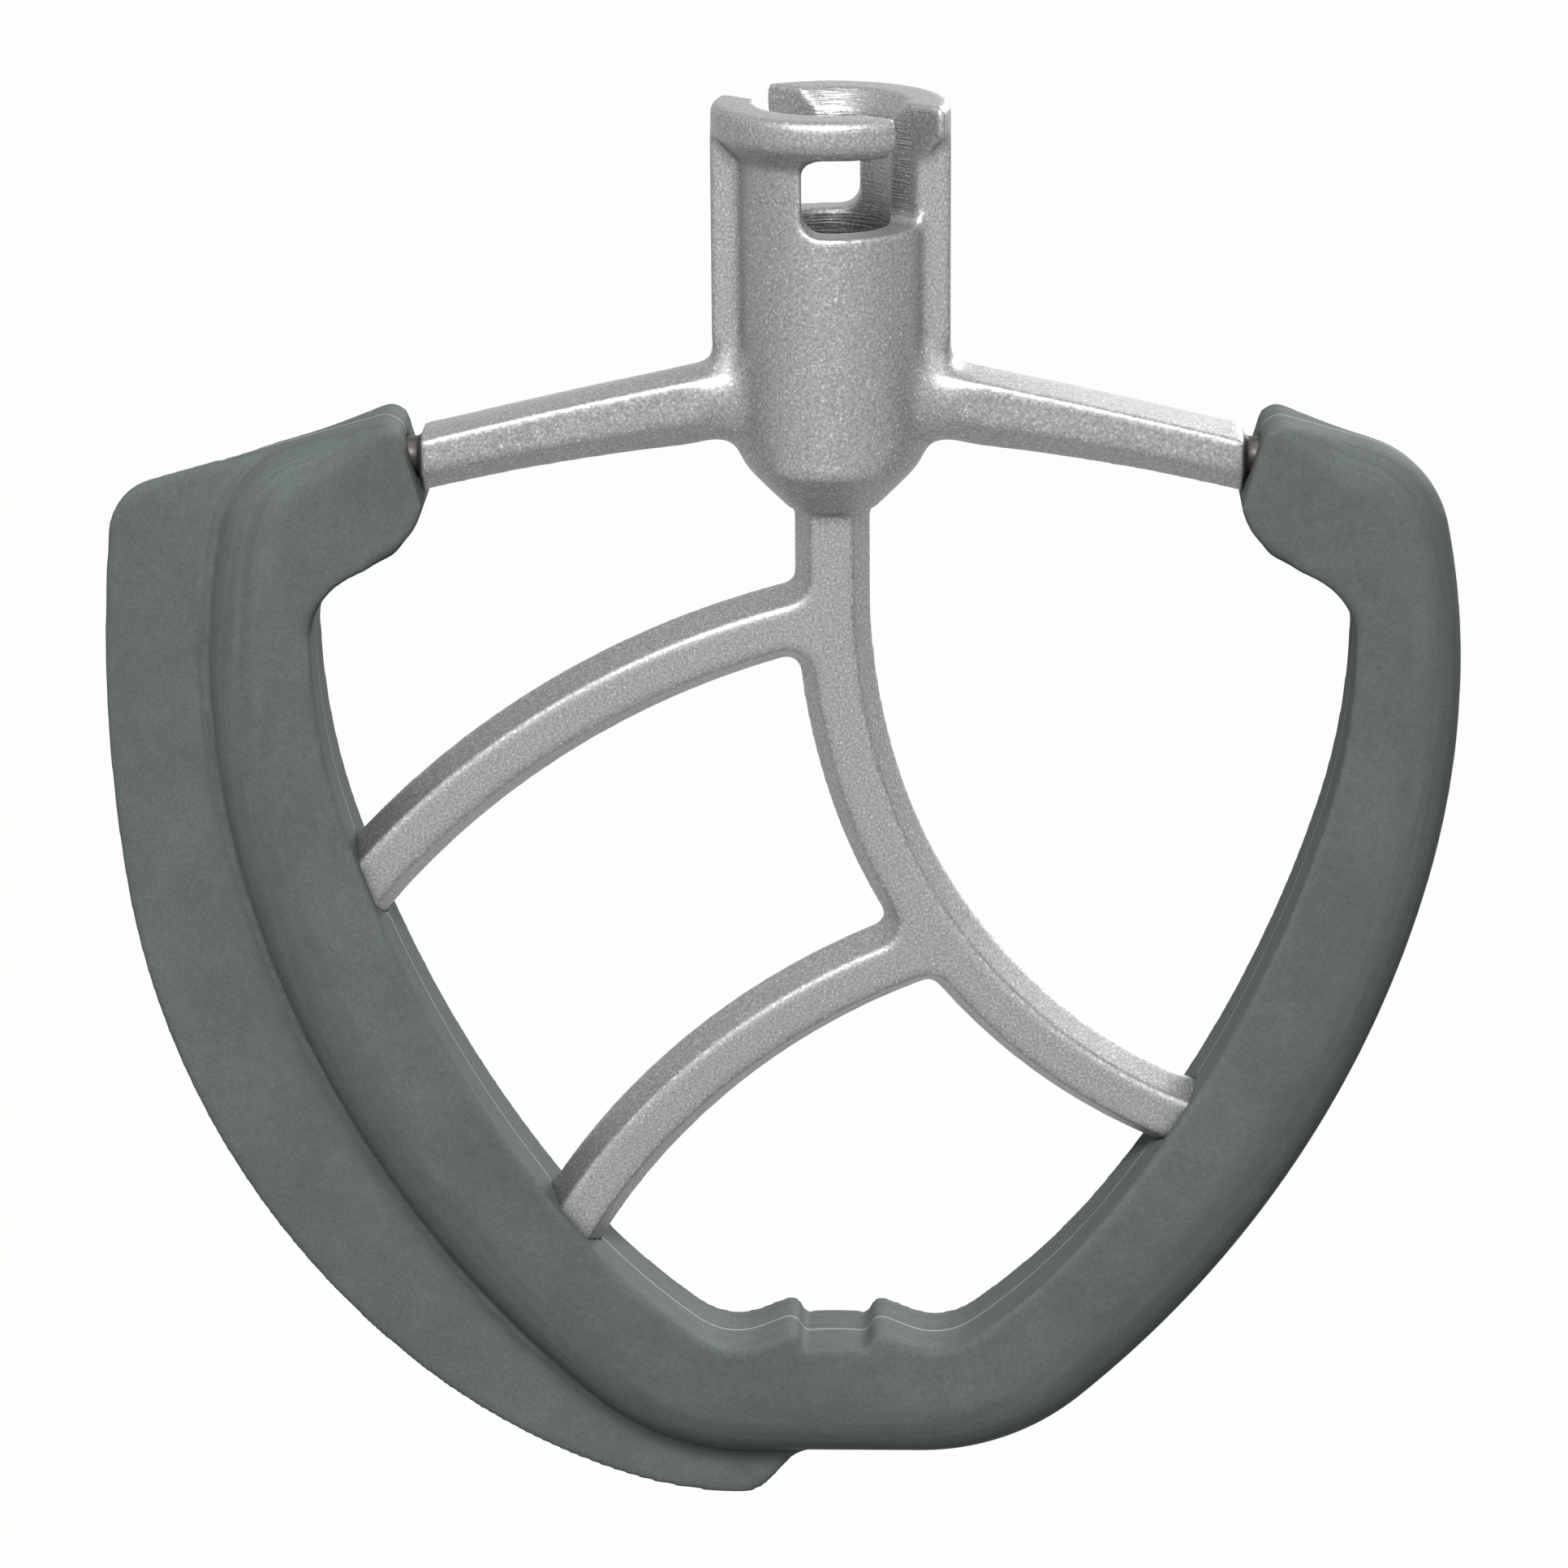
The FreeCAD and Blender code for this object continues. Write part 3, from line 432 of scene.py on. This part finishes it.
finish(soft_edge, "LAPLACIANSMOOTH",
       {"lambda_factor": 1.5, "iterations": 3, "vertex_group": "fin_blade"})
smooth(soft_edge, 7, "outer_curve")
smooth(soft_edge, 25, "end_corners")

# What touches the frame is never seen, so it is left coarser.
frame_shape = BVHTree.FromObject(beater_frame, bpy.context.evaluated_depsgraph_get())
hidden = soft_edge.vertex_groups.new(name="hidden")
for v in soft_edge.data.vertices:
    if frame_shape.find_nearest(v.co, TOUCHING)[0]:
        hidden.add([v.index], 1.0, "REPLACE")
finish(soft_edge, "DECIMATE", {"ratio": EDGE_KEPT, "vertex_group": "hidden"})
bpy.ops.object.shade_smooth()

# The rubber's colour drifts very slightly over a few millimetres.
MOTTLE_MM = 2.2
rubber, tree = blank_material("moulded_silicone")
place = add(tree, "ShaderNodeTexCoord")
mottle = add(tree, "ShaderNodeTexNoise",
             {"Scale": MM / MOTTLE_MM, "Detail": 4.0, "Roughness": 0.65},
             {"Vector": place.outputs["Object"]})
tone = add(tree, "ShaderNodeValToRGB", None, {"Fac": mottle.outputs["Fac"]})
ramp = tone.color_ramp
ramp.elements[0].position = 0.3
ramp.elements[0].color = linear("555A5A")
ramp.elements[1].position = 0.7
ramp.elements[1].color = linear("5A6060")
# Fine dusty speckle, about 0.1 mm on the real rubber and drawn coarser to show.
SPECKLE_MM = 0.28
speckle = add(tree, "ShaderNodeTexNoise",
              {"Scale": MM / SPECKLE_MM, "Detail": 2.0, "Roughness": 0.6},
              {"Vector": place.outputs["Object"]})
dust = add(tree, "ShaderNodeMapRange", {1: 0.35, 2: 0.75, 3: 0.9, 4: 1.16},
           {0: speckle.outputs["Fac"]})
# The mould was cut in passes along the rim, which left faint lines beside the
# middle plane, 0.4 mm apart.
PASS_MM = 0.4
across_rim = add(tree, "ShaderNodeMapping", {"Scale": (0.03, 1.0, 0.03)},
                 {0: place.outputs["Object"]})
passes = add(tree, "ShaderNodeTexNoise",
             {"Scale": MM / PASS_MM, "Detail": 1.0, "Roughness": 0.5},
             {"Vector": across_rim.outputs[0]})
lines = add(tree, "ShaderNodeMapRange", {1: 0.35, 2: 0.7, 3: 0.93, 4: 1.08},
            {0: passes.outputs["Fac"]})
shade = add(tree, "ShaderNodeMath", {"operation": "MULTIPLY"},
            {0: dust.outputs[0], 1: lines.outputs[0]})
speckled = add(tree, "ShaderNodeVectorMath", {"operation": "SCALE"},
               {0: tone.outputs["Color"], "Scale": shade.outputs[0]})
height = add(tree, "ShaderNodeMath", {"operation": "ADD"},
             {0: speckle.outputs["Fac"], 1: passes.outputs["Fac"]})
bump = add(tree, "ShaderNodeBump", {"Strength": 0.3, "Distance": 0.00004},
           {"Height": height.outputs[0]})
# The flash line where the two mould halves met is thin, and its pale colour is a
# painted highlight, the light that its thin ridge would catch.
FLASH_HALF_MM = 0.1
axes = add(tree, "ShaderNodeSeparateXYZ", None, {0: place.outputs["Object"]})
off_middle = add(tree, "ShaderNodeMath", {"operation": "ABSOLUTE"},
                 {0: axes.outputs["Y"]})
painted_flash_highlight = add(tree, "ShaderNodeMath", {"operation": "LESS_THAN", 1: FLASH_HALF_MM / MM},
            {0: off_middle.outputs[0]})
colour = add(tree, "ShaderNodeMix", {"data_type": "RGBA", 7: linear("97A09F")},
             {0: painted_flash_highlight.outputs[0], 6: speckled.outputs[0]})
# A matt mould leaves the rubber dull, so it has little shine of its own.
soft = add(tree, "ShaderNodeBsdfPrincipled",
           {"Roughness": 0.7, "IOR": 1.41, "Specular IOR Level": 0.12},
           {"Base Color": colour.outputs[2], "Normal": bump.outputs["Normal"]})
add(tree, "ShaderNodeOutputMaterial", None, {"Surface": soft.outputs[0]})
soft_edge.data.materials.append(rubber)
